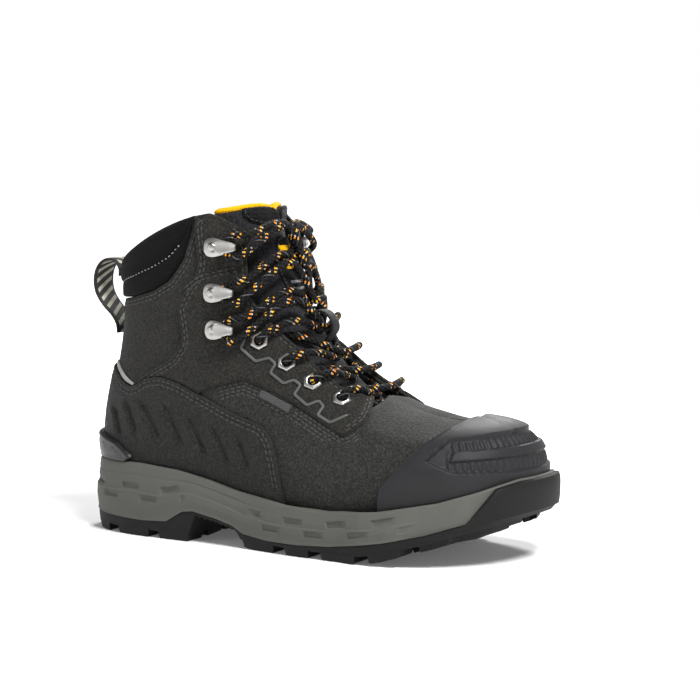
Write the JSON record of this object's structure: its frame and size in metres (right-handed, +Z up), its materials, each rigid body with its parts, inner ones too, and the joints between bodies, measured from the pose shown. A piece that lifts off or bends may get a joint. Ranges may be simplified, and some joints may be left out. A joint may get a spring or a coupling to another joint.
{
  "type": "steel toe work boot",
  "caption": "Six-inch lace-up work boot with steel toe cap, moulded toe guard, cupped midsole, lugged outsole and padded collar.",
  "frame": {"origin": "centre of the bounding box on the ground plane the outsole stands on", "axes": "+X from heel to toe, +Y from the outer (lateral) side to the inner (medial) side, +Z up"},
  "size_m": [0.3105, 0.121, 0.2025],
  "materials": {
    "nubuck": "matt oiled nubuck, dark charcoal",
    "vamp_leather": "fine-grained charcoal leather",
    "wrap_leather": "coated leather with pressed flutes",
    "collar_textile": "black woven textile over foam",
    "guard_rubber": "moulded textured rubber, dark grey",
    "cap_steel": "pressed steel, painted edge",
    "counter_board": "moulded stiffener board",
    "lining_mesh": "dark spacer mesh",
    "tongue_fabric": "dense charcoal textile",
    "yellow_lining": "yellow brushed textile",
    "gusset_leather": "soft thin leather",
    "eyelet_steel": "satin nickel",
    "hook_steel": "satin nickel",
    "midsole_foam": "moulded olive-grey polyurethane, matt",
    "outsole_rubber": "black rubber, matt",
    "plate_steel": "thin spring-steel sheet",
    "board_fibre": "fibre board",
    "shank_steel": "plain steel strip",
    "footbed_foam": "foam with a cloth face",
    "clip_plastic": "black moulded plastic",
    "pad_knit": "ribbed knit",
    "patch_weave": "woven patch with a stitched border",
    "keeper_leather": "narrow leather strap",
    "loop_webbing": "black webbing with pale diagonal stripes",
    "piping_grey": "grey moulded piping",
    "label_weave": "blank woven label",
    "reflective_piping": "silver reflective strip",
    "lace_cord": "round braid, black with grey and yellow flecks",
    "aglet_plastic": "clear-coated tip"
  },
  "bodies": {
    "boot": {"outsole": "outsole_rubber", "midsole": "midsole_foam", "heel_clip": "clip_plastic", "puncture_plate": "plate_steel", "shank": "shank_steel", "insole_board": "board_fibre", "steel_toe_cap": "cap_steel", "heel_counter": "counter_board", "lining": "lining_mesh", "vamp": "vamp_leather", "quarter_lateral": "nubuck", "quarter_medial": "nubuck", "eyestay_lateral": "nubuck", "eyestay_medial": "nubuck", "fluted_heel_wrap": "wrap_leather", "backstay": "nubuck", "padded_collar": "collar_textile", "toe_guard": "guard_rubber", "gusset_lateral": "gusset_leather", "gusset_medial": "gusset_leather", "pull_loop": "loop_webbing", "side_label": "label_weave", "lace": "lace_cord", "aglet_1": "aglet_plastic", "aglet_2": "aglet_plastic", "hex_piping_lateral": "piping_grey", "heel_piping_lateral": "reflective_piping", "eyelet_lateral_1": "eyelet_steel", "eyelet_lateral_2": "eyelet_steel", "eyelet_lateral_3": "eyelet_steel", "eyelet_lateral_4": "eyelet_steel", "hook_lateral_1": "hook_steel", "hook_rivet_lateral_1": "hook_steel", "hook_lateral_2": "hook_steel", "hook_rivet_lateral_2": "hook_steel", "hook_lateral_3": "hook_steel", "hook_rivet_lateral_3": "hook_steel", "hex_piping_medial": "piping_grey", "heel_piping_medial": "reflective_piping", "eyelet_medial_1": "eyelet_steel", "eyelet_medial_2": "eyelet_steel", "eyelet_medial_3": "eyelet_steel", "eyelet_medial_4": "eyelet_steel", "hook_medial_1": "hook_steel", "hook_rivet_medial_1": "hook_steel", "hook_medial_2": "hook_steel", "hook_rivet_medial_2": "hook_steel", "hook_medial_3": "hook_steel", "hook_rivet_medial_3": "hook_steel"},
    "tongue": {"tongue": "tongue_fabric", "tongue_lining": "yellow_lining", "tongue_top_pad": "pad_knit", "tongue_patch": "patch_weave", "lace_keeper": "keeper_leather"},
    "footbed": {"footbed": "footbed_foam"}
  },
  "joints": [
    {"name": "tongue_tilt", "type": "hinge", "parent": "boot", "child": "tongue", "pos_m": [0.05415, 0.0015, 0.082], "axis": [0, 1, 0], "range_deg": [-1.6, 0], "stiffness_Nm_per_rad": 1.5, "springref_deg": 2.86},
    {"name": "footbed_lift", "type": "hinge", "parent": "boot", "child": "footbed", "pos_m": [0.13915, 0.0015, 0.043], "axis": [0, 1, 0], "range_deg": [0, 8]}
  ]
}
